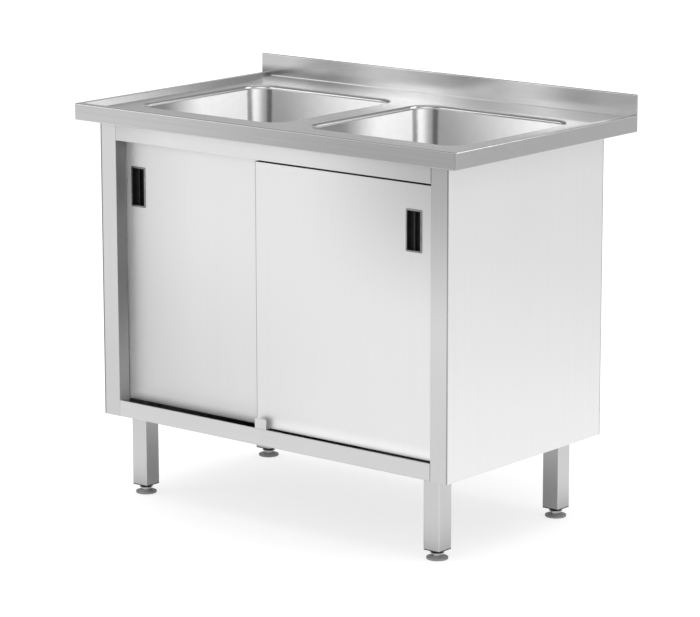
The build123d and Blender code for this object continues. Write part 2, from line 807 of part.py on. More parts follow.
def make_door_inner_skin(x, lane):
    with BuildPart() as skin:
        with BuildSketch(upright(lane + door_thickness / 2)):
            with Locations((x, door_z)):
                Rectangle(door_width - 2 * door_inner_margin, door_height - 2 * door_inner_margin)
        extrude(amount=door_skin)
    return skin.part


def make_pull_frame(pull_x, lane):
    face = lane - door_thickness / 2
    with BuildPart() as frame:
        with BuildSketch(upright(face)):
            with Locations((pull_x, pull_z)):
                RectangleRounded(pull_width, pull_length, pull_radius)
        extrude(amount=pull_proud)
        fillet(frame.edges().group_by(Axis.Y)[0], pull_proud / 2)
        with BuildSketch(upright(face)):
            with Locations((pull_x, pull_z)):
                Rectangle(pull_width - 2 * pull_frame, pull_length - 2 * pull_frame)
        extrude(amount=pull_proud, mode=Mode.SUBTRACT)
    return frame.part


def make_pull_cup(pull_x, lane):
    """Cup behind the frame, with one upright rib that splits the finger recess."""
    face = lane - door_thickness / 2
    inner_w, inner_h = pull_width - 2 * pull_frame, pull_length - 2 * pull_frame
    outer_w = pull_width - pull_frame - 2 * pull_fit
    outer_h = pull_length - pull_frame - 2 * pull_fit
    with BuildPart() as cup:
        with BuildSketch(upright(face)):
            with Locations((pull_x, pull_z)):
                RectangleRounded(outer_w, outer_h, pull_radius - pull_fit)
        extrude(amount=-pull_depth)
        with BuildSketch(upright(face)):
            with Locations((pull_x, pull_z)):
                Rectangle(inner_w, inner_h)
        extrude(amount=pull_wall - pull_depth, mode=Mode.SUBTRACT)
        with BuildSketch(upright(face + pull_rib_drop)):
            with Locations((pull_x, pull_z)):
                Rectangle(pull_rib, inner_h)
        extrude(amount=pull_rib_drop - pull_depth)
    return cup.part


def hanger_screw_places(x, lane):
    return [(x + i * hanger_spacing / 2 + j * hanger_screw_pitch / 2, lane)
            for i in (-1, 1) for j in (-1, 1)]


def make_hanger(x, lane):
    """Foot on the door's top, plate up through the slot and a riveted stub axle behind it."""
    plate_back = lane + hanger_plate / 2
    plate_top = axle_z + hanger_top_margin
    axle_length = roller_width + 2 * roller_side_gap
    with BuildPart() as hanger:
        with BuildSketch(Plane.XY.offset(door_top)):
            with Locations((x, lane)):
                Rectangle(hanger_foot_length, hanger_foot_width)
                with GridLocations(hanger_screw_pitch, 1, 2, 1):
                    Circle(screw_hole, mode=Mode.SUBTRACT)
        extrude(amount=hanger_plate)
        with BuildSketch(upright(plate_back)):
            span(x - hanger_width / 2, x + hanger_width / 2, door_top, plate_top)
        extrude(amount=hanger_plate)
        fillet(hanger.edges().filter_by(Axis.Y).group_by(Axis.Z)[-1], hanger_top_margin / 2)
        with BuildSketch(upright(plate_back)):
            with Locations((x, axle_z)):
                Circle(axle_radius)
        extrude(amount=-axle_length)
        with BuildSketch(upright(plate_back + axle_length)):
            with Locations((x, axle_z)):
                Circle(axle_head_radius)
        extrude(amount=-axle_head)
    return hanger.part


def make_roller(x, lane):
    near = lane + hanger_plate / 2 + roller_side_gap
    with BuildPart() as roller:
        with BuildSketch(upright(near)):
            with Locations((x, axle_z)):
                Circle(roller_radius)
                Circle(axle_radius + axle_fit, mode=Mode.SUBTRACT)
        extrude(amount=-roller_width)
    return roller.part


def make_door_screws(x, lane):
    seat = door_top + hanger_plate
    with BuildPart() as screws:
        with BuildSketch(Plane.XY.offset(seat)):
            with Locations(*hanger_screw_places(x, lane)):
                Circle(screw_head_radius)
        extrude(amount=screw_head_height)
        with BuildSketch(Plane.XY.offset(seat)):
            with Locations(*hanger_screw_places(x, lane)):
                Circle(screw_radius)
        extrude(amount=-screw_length)
    return screws.part


def write_door(name, x, lane, pull_x):
    write(make_door_outer_skin(x, lane, pull_x), f"{name}_outer_skin")
    write(make_door_inner_skin(x, lane), f"{name}_inner_skin")
    write(make_pull_frame(pull_x, lane), f"{name}_pull_frame")
    write(make_pull_cup(pull_x, lane), f"{name}_pull_cup")
    write(make_door_screws(x, lane), f"{name}_hanger_screws")
    for end, way in (("left", -1), ("right", 1)):
        hanger_x = x + way * hanger_spacing / 2
        write(make_hanger(hanger_x, lane), f"{name}_{end}_hanger")
        write(make_roller(hanger_x, lane), f"{name}_{end}_roller")


# ---- the whole unit ------------------------------------------------------------------------------
os.makedirs("parts", exist_ok=True)
write(make_worktop(), "worktop")
for hand, side in (("left", -1), ("right", 1)):
    write(make_bowl(side * bowl_x), f"{hand}_bowl")
    write(make_waste(side * bowl_x), f"{hand}_waste")
    write(make_waste_gasket(side * bowl_x), f"{hand}_waste_gasket")
    write(make_waste_nut(side * bowl_x), f"{hand}_waste_nut")
    write(make_side_panel(side), f"{hand}_side_panel")
    write(make_back_panel(side), f"{hand}_back_panel")
    write(make_post(side), f"{hand}_post")
write(make_centre_stiffener(), "centre_stiffener")
write(make_top_rail(), "top_rail")
write(make_bottom_rail(), "bottom_rail")
write(make_rear_rail(), "rear_rail")
write(make_floor_panel(), "floor_panel")
write(make_leg_bolts(), "leg_bolts")
write(make_leg_nuts(), "leg_nuts")
for corner, (x, y) in leg_places.items():
    write(make_leg(x, y), f"{corner}_leg")
    write(make_leg_plug(x, y), f"{corner}_leg_plug")
    write(make_foot_pad(x, y), f"{corner}_foot_pad")
    write(make_foot_stem(x, y), f"{corner}_foot_stem")
write(make_track(), "door_track")
write(make_track_screws(), "track_screws")
write(make_track_stops(), "track_stops")
write(make_centre_guide(), "centre_guide")
write_door("left_door", left_door_x, lane_rear, pull_setback - post_inner - door_tuck)
write_door("right_door", right_door_x, lane_front, post_inner - door_side_gap - pull_setback)
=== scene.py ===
import math

import bmesh
import bpy
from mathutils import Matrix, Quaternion, Vector


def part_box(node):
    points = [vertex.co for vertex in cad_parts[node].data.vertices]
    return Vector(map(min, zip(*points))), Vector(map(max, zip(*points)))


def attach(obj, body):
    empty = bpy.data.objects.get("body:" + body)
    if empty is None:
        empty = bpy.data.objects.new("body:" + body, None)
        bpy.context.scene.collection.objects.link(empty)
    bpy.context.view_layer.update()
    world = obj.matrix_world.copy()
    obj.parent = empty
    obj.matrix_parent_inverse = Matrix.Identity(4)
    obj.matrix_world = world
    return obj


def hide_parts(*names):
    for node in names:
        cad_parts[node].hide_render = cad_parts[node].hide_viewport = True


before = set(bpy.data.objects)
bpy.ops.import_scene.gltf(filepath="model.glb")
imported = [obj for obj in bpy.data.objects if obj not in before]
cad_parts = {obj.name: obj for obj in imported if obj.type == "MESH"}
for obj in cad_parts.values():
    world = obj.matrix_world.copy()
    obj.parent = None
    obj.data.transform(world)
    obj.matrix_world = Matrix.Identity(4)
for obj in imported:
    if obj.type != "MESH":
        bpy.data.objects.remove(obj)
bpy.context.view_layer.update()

# ---------------------------------------------------------------- camera
# A long lens, a little above the worktop's height and to the right of the front,
# as the sink unit is photographed for a catalogue.
camera_place = Vector((4.23585, -5.14937, 1.85511))
camera_target = Vector((-0.0064, -0.00057, 0.41536))
camera_roll = math.radians(-0.0848)
camera_data = bpy.data.cameras.new("camera")
camera_data.lens = 169.145
camera_data.sensor_width = 36.0
camera = bpy.data.objects.new("camera", camera_data)
camera.location = camera_place
camera.rotation_mode = "QUATERNION"
aim = (camera_target - camera_place).to_track_quat("-Z", "Y")
camera.rotation_quaternion = aim @ Quaternion((0, 0, 1), camera_roll)
bpy.context.scene.collection.objects.link(camera)
bpy.context.scene.camera = camera

# ---------------------------------------------------------------- foot pads
# Round pads of grey polypropylene, injection moulded, that the levelling feet
# turn in. A rounded lip stands on the floor, and a stepped crown holds the
# ball of the stem. Each one rides with its foot.
MM = 0.001


def linear(colour):
    """The linear red, green, blue and alpha of an sRGB hex colour."""
    parts = [int(colour[i:i + 2], 16) / 255 for i in (1, 3, 5)]
    return [p / 12.92 if p <= 0.04045 else ((p + 0.055) / 1.055) ** 2.4 for p in parts] + [1.0]


def node(tree, kind, inputs=None, **settings):
    """Adds one shader node. An input given as a socket is linked, and any other is set. In
    MapRange, 0 is the value, 1 and 2 are its range, and 3 and 4 the range that it is
    brought to. In Mix, 0 is the share of the second of the numbers in 2 and 3, or of the
    colours in 6 and 7."""
    made = tree.nodes.new("ShaderNode" + kind)
    for name, value in settings.items():
        setattr(made, name, value)
    for name, value in (inputs or {}).items():
        if isinstance(value, bpy.types.NodeSocket):
            tree.links.new(value, made.inputs[name])
        else:
            made.inputs[name].default_value = value
    return made


def new_material(name):
    """An empty material and its node tree."""
    material = bpy.data.materials.new(name)
    material.use_nodes = True
    material.node_tree.nodes.clear()
    return material, material.node_tree


def moulded(name, body, worn, roughness, spark_mm, dent_mm, specular=0.5):
    """Moulded plastic or rubber: one colour through, a spark-eroded mould grain that
    breaks up the shine, and paler rubbed patches of about two centimetres."""
    rubs_per_metre = 45.0
    material, tree = new_material(name)
    place = node(tree, "TexCoord").outputs["Object"]
    grain = node(tree, "TexNoise", {"Vector": place, "Scale": 1 / (spark_mm * MM), "Detail": 2.0})
    rub = node(tree, "TexNoise", {
        "Vector": place, "Scale": rubs_per_metre, "Detail": 4.0, "Roughness": 0.6})
    patch = node(tree, "MapRange", {0: rub.outputs[0], 1: 0.42, 2: 0.68, 3: 0.0, 4: 1.0})
    colour = node(tree, "Mix", {
        0: patch.outputs[0], 6: linear(body), 7: linear(worn)}, data_type="RGBA")
    rough = node(tree, "MapRange", {
        0: grain.outputs[0], 1: 0.3, 2: 0.7, 3: roughness - 0.08, 4: roughness + 0.1})
    bump = node(tree, "Bump", {
        "Strength": 0.5, "Distance": dent_mm * MM, "Height": grain.outputs[0]})
    shader = node(tree, "BsdfPrincipled", {
        "Base Color": colour.outputs[2], "Roughness": rough.outputs[0],
        "Specular IOR Level": specular, "Normal": bump.outputs[0]})
    node(tree, "OutputMaterial", {"Surface": shader.outputs[0]})
    return material


def solid_of(name, rings):
    """A closed mesh through rings of points, each ring given from the bottom up."""
    shape = bmesh.new()
    rows = [[shape.verts.new(point) for point in ring] for ring in rings]
    for low, high in zip(rows, rows[1:]):
        for i in range(len(low)):
            k = (i + 1) % len(low)
            shape.faces.new((low[i], low[k], high[k], high[i]))
    shape.faces.new(list(reversed(rows[0])))
    shape.faces.new(rows[-1])
    mesh = bpy.data.meshes.new(name)
    shape.to_mesh(mesh)
    shape.free()
    return mesh


def turned(name, profile, steps=64):
    """A turned or moulded round piece, from its profile of radii and heights in mm."""
    rings = []
    for radius, height in profile:
        angles = [2 * math.pi * i / steps for i in range(steps)]
        rings.append([(radius * MM * math.cos(angle), radius * MM * math.sin(angle), height * MM)
                      for angle in angles])
    return solid_of(name, rings)


def shown(name, mesh, material, place, body, replaced, sharp=35):
    """A new piece at its place, on its CAD body, for the node that it stands for."""
    piece = bpy.data.objects.new(name, mesh)
    piece.location = place
    bpy.context.scene.collection.objects.link(piece)
    if not mesh.materials:
        mesh.materials.append(material)
        mesh.shade_smooth()
        mesh.set_sharp_from_angle(angle=math.radians(sharp))
    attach(piece, body)
    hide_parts(replaced)


# Moulded polypropylene: a dull, waxy mid grey with a faint mould grain.
grey_polypropylene = moulded("moulded_grey_polypropylene", "#98989A", "#A4A4A8", 0.42, 0.5, 0.02)
# Radius and height in mm, from the hollow under the pad, round its lip and up to its crown.
pad_profile = [
    (17.0, 0.6), (17.6, 0.0), (21.3, 0.0), (21.8, 0.4), (22.0, 1.0), (22.0, 3.4), (21.8, 3.9),
    (21.2, 4.2), (19.6, 4.3), (19.2, 4.1), (18.6, 4.1), (18.2, 4.4), (16.8, 4.9), (15.2, 5.5),
    (14.4, 5.9), (14.1, 6.4), (13.8, 6.8), (13.3, 7.0), (10.6, 7.0)]
pad_mesh = turned("foot_pad", pad_profile, 96)
corners = ["front_left", "front_right", "rear_left", "rear_right"]
foot_axes = {}
for corner in corners:
    low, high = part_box(corner + "_foot_pad")
    foot_axes[corner] = Vector(((low.x + high.x) / 2, (low.y + high.y) / 2, 0))
    shown(corner + "_pad_moulding", pad_mesh, grey_polypropylene, foot_axes[corner],
          corner + "_foot", corner + "_foot_pad")

# ---------------------------------------------------------------- foot stems
# Turned and zinc-plated steel: a round collar, a chamfered hexagon for the
# spanner and an M10 screw that runs up into the leg's plug. Sizes in mm.
collar_bore = 5.2
collar_edge = 0.4
collar_radius = 14.0
collar_top = 14.0
collar_thick = 1.5
hexagon_width = 19.0
hexagon_foot = 7.0
screw_radius = 5.0
screw_pitch = 1.5
screw_top = 64.0


def hexagon_radius(angle, width):
    """How far a hexagon's side is from its axis, in this direction."""
    turn = (angle + math.pi / 6) % (math.pi / 3) - math.pi / 6
    return width / 2 / math.cos(turn)


def hexagon_rings(width, low, high, steps=96, dome=0.96):
    """The rings of a hexagon whose corners are turned off at both ends, at 30 degrees down
    to the flat round face inside them."""
    flat = width / 2 * dome
    rings = [[], [], [], []]
    for i in range(steps):
        angle = 2 * math.pi * i / steps
        full = hexagon_radius(angle, width)
        end = min(full, flat)
        drop = (full - end) * math.tan(math.radians(30))
        heights = (low, low + drop, high - drop, high)
        for ring, radius, height in zip(rings, (end, full, full, end), heights):
            ring.append((radius * MM * math.cos(angle), radius * MM * math.sin(angle), height * MM))
    return rings


def screw_rings(radius, low, high, pitch, steps=32, rows_per_turn=8, depth=0.6):
    """The rings of a rolled thread: its crest winds up one pitch a turn, crest and root are
    narrow flats, and the thread runs out at both ends."""
    rows = int((high - low) / pitch * rows_per_turn)
    rings = []
    for row in range(rows + 1):
        height = low + (high - low) * row / rows
        ring = []
        for i in range(steps):
            wave = abs(((height / pitch - i / steps) % 1.0) * 2 - 1)
            crest = max(0.0, min(1.0, wave * 1.4 - 0.2))
            ease = max(0.0, min(1.0, (high - height) / pitch, (height - low) / pitch + 0.2))
            reach = (radius - depth * (1 - crest * ease)) * MM
            angle = 2 * math.pi * i / steps
            ring.append((reach * math.cos(angle), reach * math.sin(angle), height * MM))
        rings.append(ring)
    return rings


def joined(name, *meshes):
    """One mesh from several closed ones."""
    shape = bmesh.new()
    for mesh in meshes:
        shape.from_mesh(mesh)
    whole = bpy.data.meshes.new(name)
    shape.to_mesh(whole)
    shape.free()
    return whole


def plated(name, pale, deep, roughness, grain_mm, dent_mm,
           anisotropy=0.0, pull=None, spread=0.06, metallic=1.0):
    """Metal with a thin plated, rolled or turned skin: a clean shine with faint cloudy
    patches and fine marks of the tool. pull is the direction the blur is drawn out in,
    spread is how much the roughness changes over the marks, and a skin that scatters
    light as paper does is less metallic."""
    clouds_per_metre = 60.0
    material, tree = new_material(name)
    place = node(tree, "TexCoord").outputs["Object"]
    cloud = node(tree, "TexNoise", {"Vector": place, "Scale": clouds_per_metre, "Detail": 3.0})
    marks = node(tree, "TexNoise", {"Vector": place, "Scale": 1 / (grain_mm * MM), "Detail": 3.0})
    blend = node(tree, "MapRange", {0: cloud.outputs[0], 1: 0.35, 2: 0.65, 3: 0.0, 4: 1.0})
    colour = node(tree, "Mix", {
        0: blend.outputs[0], 6: linear(pale), 7: linear(deep)}, data_type="RGBA")
    rough = node(tree, "MapRange", {
        0: marks.outputs[0], 1: 0.3, 2: 0.7, 3: roughness - spread, 4: roughness + spread})
    bump = node(tree, "Bump", {
        "Strength": 0.4, "Distance": dent_mm * MM, "Height": marks.outputs[0]})
    shader = node(tree, "BsdfPrincipled", {
        "Base Color": colour.outputs[2], "Metallic": metallic, "Roughness": rough.outputs[0],
        "Anisotropic": anisotropy, "Normal": bump.outputs[0]})
    if pull:
        drawn = node(tree, "CombineXYZ", {0: pull[0], 1: pull[1], 2: pull[2]})
        tree.links.new(drawn.outputs[0], shader.inputs["Tangent"])
    node(tree, "OutputMaterial", {"Surface": shader.outputs[0]})
    return material


# Bright zinc on turned steel: a light, slightly clouded silver.
turned_zinc = plated("zinc_plated_turned_steel", "#E4E5E6", "#D2D4D6", 0.3, 0.6, 0.01)
collar_foot = collar_top - collar_thick
collar = turned("stem_collar", [
    (collar_bore, collar_foot), (collar_radius - collar_edge, collar_foot),
    (collar_radius, collar_foot + collar_edge), (collar_radius, collar_top - collar_edge),
    (collar_radius - collar_edge, collar_top), (collar_bore, collar_top)])
hexagon = solid_of("stem_hexagon", hexagon_rings(hexagon_width, hexagon_foot, collar_foot))
screw = solid_of("stem_screw", screw_rings(screw_radius, collar_top, screw_top, screw_pitch))
stem_mesh = joined("foot_stem", collar, hexagon, screw)
for corner in corners:
    shown(corner + "_stem_turning", stem_mesh, turned_zinc, foot_axes[corner],
          corner + "_foot", corner + "_foot_stem", sharp=28)

# ---------------------------------------------------------------- leg plugs
# Black polyamide end plugs, moulded, pushed into each leg's tube. The rim closes
# the tube's end and the short round boss under it takes the stem.


def dress(material, *names):
    """Gives CAD nodes their finish."""
    for name in names:
        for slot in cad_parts[name].material_slots:
            slot.material = material


# Black glass-filled polyamide: nearly black, with a soft sheen on its edges.
black_polyamide = moulded("moulded_black_polyamide", "#1B1B1C", "#2A2A2C", 0.45, 0.6, 0.02)
dress(black_polyamide, *[corner + "_leg_plug" for corner in corners])

# ---------------------------------------------------------------- legs
# Square tube of 40 mm, stainless, longitudinally ground, with a flange welded at
# its top for the bolts. The grain runs up the leg.


def ground_stainless(name, pale, deep, grain, width_mm, length_mm, roughness, spread,
                     pull=None, anisotropy=0.0, cloud_mm=140.0, dent_mm=0.012):
    """Stainless sheet or tube with a ground or brushed grain along one axis: fine
    parallel lines, a blur drawn out across them, and faint patches where hands or
    the belt have pressed harder. pull is the direction the blur is drawn out in, and
    spread is how much the roughness changes over the patches."""
    band_widths = 6
    material, tree = new_material(name)
    place = node(tree, "TexCoord").outputs["Object"]
    along = {"x": 0, "y": 1, "z": 2}[grain]
    stretch = [1 / (width_mm * MM)] * 3
    stretch[along] = 1 / (length_mm * MM)
    lines = node(tree, "Mapping", {"Vector": place, "Scale": stretch})
    grit = node(tree, "TexNoise", {
        "Vector": lines.outputs[0], "Scale": 1.0, "Detail": 4.0, "Roughness": 0.65})
    broad = [value / band_widths for value in stretch]
    bands = node(tree, "Mapping", {"Vector": place, "Scale": broad})
    streak = node(tree, "TexNoise", {"Vector": bands.outputs[0], "Scale": 1.0, "Detail": 2.0})
    cloud = node(tree, "TexNoise", {
        "Vector": place, "Scale": 1 / (cloud_mm * MM), "Detail": 3.0, "Roughness": 0.55})
    mixed = node(tree, "Math", {0: grit.outputs[0], 1: streak.outputs[0]}, operation="ADD")
    blend = node(tree, "MapRange", {0: mixed.outputs[0], 1: 0.6, 2: 1.4, 3: 0.0, 4: 1.0})
    colour = node(tree, "Mix", {
        0: blend.outputs[0], 6: linear(pale), 7: linear(deep)}, data_type="RGBA")
    wear = node(tree, "Math", {0: cloud.outputs[0], 1: grit.outputs[0]}, operation="ADD")
    rough = node(tree, "MapRange", {
        0: wear.outputs[0], 1: 0.7, 2: 1.3, 3: roughness - spread, 4: roughness + spread})
    bump = node(tree, "Bump", {
        "Strength": 0.35, "Distance": dent_mm * MM, "Height": grit.outputs[0]})
    inputs = {"Base Color": colour.outputs[2], "Metallic": 1.0, "Roughness": rough.outputs[0],
              "Anisotropic": anisotropy, "Normal": bump.outputs[0]}
    if pull:
        drawn = node(tree, "CombineXYZ", {0: pull[0], 1: pull[1], 2: pull[2]})
        inputs["Tangent"] = drawn.outputs[0]
    shader = node(tree, "BsdfPrincipled", inputs)
    node(tree, "OutputMaterial", {"Surface": shader.outputs[0]})
    return material


# Ground stainless tube: a cool pale grey with upright grain lines. A real belt line is
# about 0.2 mm wide, which is too fine to show, so it is drawn 0.8 mm wide here and on
# the sheets, and 1.0 to 1.6 mm wide on the worktop and the mill's plain sheet.
ground_tube = ground_stainless(
    "ground_stainless_tube", "#CECECE", "#C9C9C9", "z", 0.8, 90.0, 0.4, 0.03,
    pull=(1.0, 1.0, 0.02), anisotropy=0.3)
dress(ground_tube, *[corner + "_leg" for corner in corners])

# ---------------------------------------------------------------- cabinet
# Folded stainless sheet, 1 mm: corner posts, rails and side panels with an upright
# or lengthwise ground grain, spot-welded to each other at their flanges. The
# floor, back and inner rails keep the mill's plain cold-rolled face.


def fade(tree, value, start, end, low, high):
    """A number that goes softly from low to high while value goes from start to end. Each
    of low and high may be a socket."""
    return node(tree, "MapRange", {0: value, 1: start, 2: end, 3: low, 4: high},
                interpolation_type="SMOOTHSTEP").outputs[0]


def times(tree, *values):
    """The product of numbers and sockets."""
    product = values[0]
    for value in values[1:]:
        product = node(tree, "Math", {0: product, 1: value}, operation="MULTIPLY").outputs[0]
    return product


def surface(tree):
    """The place on a piece in metres and the direction of its face, each as x, y and z."""
    place = node(tree, "TexCoord").outputs["Object"]
    facing = node(tree, "NewGeometry").outputs["True Normal"]
    return [node(tree, "SeparateXYZ", {0: vector}).outputs for vector in (place, facing)]


def toned(material, tone):
    """Multiplies a finish's colour by a number that changes over the piece: painted light and
    shade. tone makes it from the node tree, the place and the face's direction."""
    tree = material.node_tree
    colour = tree.nodes["Principled BSDF"].inputs["Base Color"]
    plain = colour.links[0].from_socket
    finish = node(tree, "Mix", {0: 1.0, 6: plain, 7: tone(tree, *surface(tree))},
                  data_type="RGBA", blend_type="MULTIPLY")
    tree.links.new(finish.outputs[2], colour)


def corner_tone(tree, place):
    """Painted shade: the fronts are darker towards the top right corner, under the worktop."""
    right = fade(tree, place[0], 0.05, 0.45, 0.0, 1.0)
    high = fade(tree, place[2], 0.45, 0.8, 0.0, 0.35)
    return node(tree, "Math", {0: 1.0, 1: times(tree, right, high)},
                operation="SUBTRACT").outputs[0]


# Ground stainless sheet, grain upright: pale grey, reflections soft as through frosted glass.
ground_upright = ground_stainless(
    "ground_stainless_upright", "#EEEEEE", "#EBEBEB", "z", 0.8, 120.0, 0.48, 0.03,
    pull=(1.0, 1.0, 0.02), anisotropy=0.2)
# The same sheet with its grain along the unit, for the two front rails.
ground_lengthwise = ground_stainless(
    "ground_stainless_lengthwise", "#EEEEEE", "#EBEBEB", "x", 0.8, 120.0, 0.46, 0.03,
    pull=(0.02, 1.0, 1.0), anisotropy=0.2)


def rail_tone(tree, place, facing):
    """Painted shade: the dark corner under the worktop, and darker low down and at the top rail's
    left end.
    """
    low = fade(tree, place[2], 0.21, 0.7, 0.8, 0.95)
    left_end = fade(tree, times(tree, place[0], place[2]), -0.33, -0.2, 0.82, 1.0)
    return times(tree, corner_tone(tree, place), low, left_end)


toned(ground_lengthwise, rail_tone)
# Cold-rolled and pickled stainless (the mill's plain finish): an even matt grey with only
# a trace of the rolls' lines.
mill_stainless = ground_stainless(
    "cold_rolled_mill_stainless", "#C6C8CA", "#C0C2C4", "z", 1.6, 240.0, 0.42, 0.02,
    cloud_mm=320.0, dent_mm=0.004)
# Ground stainless again, a little greyer. The posts' faces that look into the doorway get
# # no light but what comes off the doors' edges, so painted shade makes them darker, most of
# # all high up.
ground_post = ground_stainless(
    "ground_stainless_post", "#E0E0E0", "#DCDCDC", "z", 0.8, 120.0, 0.44, 0.03,
    pull=(1.0, 1.0, 0.02), anisotropy=0.2)


def is_reveal(tree, place, facing):
    """1 on a post's faces that look into the doorway, and 0 on its others."""
    return node(tree, "Math", {0: times(tree, place[0], facing[0]), 1: -0.2},
                operation="LESS_THAN").outputs[0]


def post_tone(tree, place, facing):
    """Painted shade: the dark corner under the worktop, the reveal, darker high up, a dark line
    where the post's round edge meets the side panel, and darker low down."""
    seam = 0.4535
    shade = fade(tree, place[2], 0.22, 0.48, 0.85, 0.42)
    reveal = node(tree, "Mix", {0: is_reveal(tree, place, facing), 2: 1.0, 3: shade},
                  data_type="FLOAT").outputs[0]
    reach = node(tree, "Math", {0: place[0]}, operation="ABSOLUTE").outputs[0]
    darkness = fade(tree, place[0], -0.1, 0.1, 0.3, 0.55)
    line = fade(tree, reach, seam, seam + 0.001, 1.0, darkness)
    low = fade(tree, place[2], 0.2, 0.55, 0.86, 1.0)
    return times(tree, reveal, line, corner_tone(tree, place), low)


toned(ground_post, post_tone)
# The reveals are also blurred more, or they would mirror the pulls.
reveal_roughness = 0.8
tree = ground_post.node_tree
blur = tree.nodes["Principled BSDF"].inputs["Roughness"]
blurred = node(tree, "Mix", {
    0: is_reveal(tree, *surface(tree)), 2: blur.links[0].from_socket, 3: reveal_roughness},
    data_type="FLOAT")
tree.links.new(blurred.outputs[0], blur)
dress(ground_post, "left_post", "right_post")
dress(ground_upright, "left_side_panel", "right_side_panel")
dress(ground_lengthwise, "top_rail", "bottom_rail")
dress(mill_stainless, "left_back_panel", "right_back_panel", "rear_rail", "centre_stiffener")
# The floor panel is of the mill's sheet too. No light reaches its front strip, under the
# # doors, so painted shade makes it nearly black.
floor_stainless = ground_stainless(
    "cold_rolled_mill_stainless_floor", "#C6C8CA", "#C0C2C4", "x", 1.6, 240.0, 0.42, 0.02,
    cloud_mm=320.0, dent_mm=0.004)
toned(floor_stainless, lambda tree, place, facing: fade(tree, place[1], -0.2, -0.16, 0.02, 1.0))
dress(floor_stainless, "floor_panel")

# ---------------------------------------------------------------- leg bolts
# Zinc-plated M8 hexagon bolts with their nuts, four to a leg. They clamp the leg's
# flange to the floor panel.
# Bright zinc plate: a light silver with a blue cast.
bright_zinc = plated("bright_zinc_plate", "#CDD0D2", "#B4B8BC", 0.28, 0.8, 0.015)
dress(bright_zinc, "leg_bolts", "leg_nuts")

# ---------------------------------------------------------------- worktop
# One stainless sheet, pressed and folded: raised rim, slope to the deck, upstand
# at the back. It is brushed lengthwise before it is folded, so the grain
# runs along the unit and the blur is drawn out along it.
# Brushed stainless: the darkest of the sheets, with long soft streaks of light.
brushed_top = ground_stainless(
    "brushed_stainless_worktop", "#D6D6D6", "#CCCCCC", "x", 1.0, 160.0, 0.24, 0.03,
    pull=(1.0, 0.02, 0.02), anisotropy=0.4, cloud_mm=260.0)


def top_tone(tree, place, facing):
    """Painted shade and reflection: the brushed sheet is darker at its right end and has soft
    waves of painted reflection along the upstand."""
    upstand_face = 0.29
    rim_height = 0.83
    wave_length = 0.4
    # Painted shade: the front edge gets darker to the right, and the right edge is a little darker.
    to_front = fade(tree, facing[1], -0.9, -0.6, 1.0, 0.0)
    dulled = fade(tree, place[0], -0.45, 0.35, 1.0, 0.72)
    edge = node(tree, "Mix", {0: to_front, 2: 1.0, 3: dulled}, data_type="FLOAT").outputs[0]
    end = fade(tree, facing[0], 0.6, 0.9, 1.0, 0.92)
    # Painted reflection: the upstand has the waves, which end short of its corners, and a dark
    # foot.
    turn = node(tree, "Math", {0: place[0], 1: 2 * math.pi / wave_length, 2: math.pi},
                operation="MULTIPLY_ADD").outputs[0]
    wave = node(tree, "Math", {0: turn}, operation="SINE").outputs[0]
    strength = times(tree, fade(tree, place[0], -0.46, -0.34, 0.0, 0.3),
                     fade(tree, place[0], 0.25, 0.4, 1.0, 0.0))
    swell = node(tree, "Math", {0: wave, 1: strength, 2: 0.98},
                 operation="MULTIPLY_ADD").outputs[0]
    darkness = fade(tree, place[0], -0.4, 0.0, 0.4, 0.85)
    foot = fade(tree, place[2], 0.836, 0.856, darkness, 1.0)
    behind = node(tree, "Math", {0: place[1], 1: upstand_face}, operation="GREATER_THAN")
    raised = node(tree, "Math", {0: place[2], 1: rim_height}, operation="GREATER_THAN")
    on_upstand = times(tree, behind.outputs[0], raised.outputs[0], to_front)
    upright = node(tree, "Mix", {0: on_upstand, 2: edge, 3: times(tree, swell, foot)},
                   data_type="FLOAT").outputs[0]
    # Painted shade: the deck's strip behind the bowls gets darker to the right.
    on_strip = times(tree, fade(tree, place[1], 0.19, 0.22, 0.0, 1.0),
                     fade(tree, facing[2], 0.6, 0.9, 0.0, 1.0))
    dull_strip = fade(tree, place[0], -0.05, 0.45, 1.0, 0.4)
    strip = node(tree, "Mix", {0: on_strip, 2: 1.0, 3: dull_strip}, data_type="FLOAT").outputs[0]
    return times(tree, upright, end, strip)


toned(brushed_top, top_tone)
dress(brushed_top, "worktop")

# ---------------------------------------------------------------- bowls
# Deep-drawn stainless bowls, satin polished inside after drawing, with
# their rims rolled under the deck's lips and welded.
# The satin scratches scatter most of the light as paper does: pale, with a silky shine.
satin_bowl = plated("satin_polished_drawn_stainless", "#F4F4F4", "#F0F0F0", 0.34, 6.0, 0.0005,
                    anisotropy=0.9, pull=(0.05, 0.02, 1.0), spread=0.01, metallic=0.15)


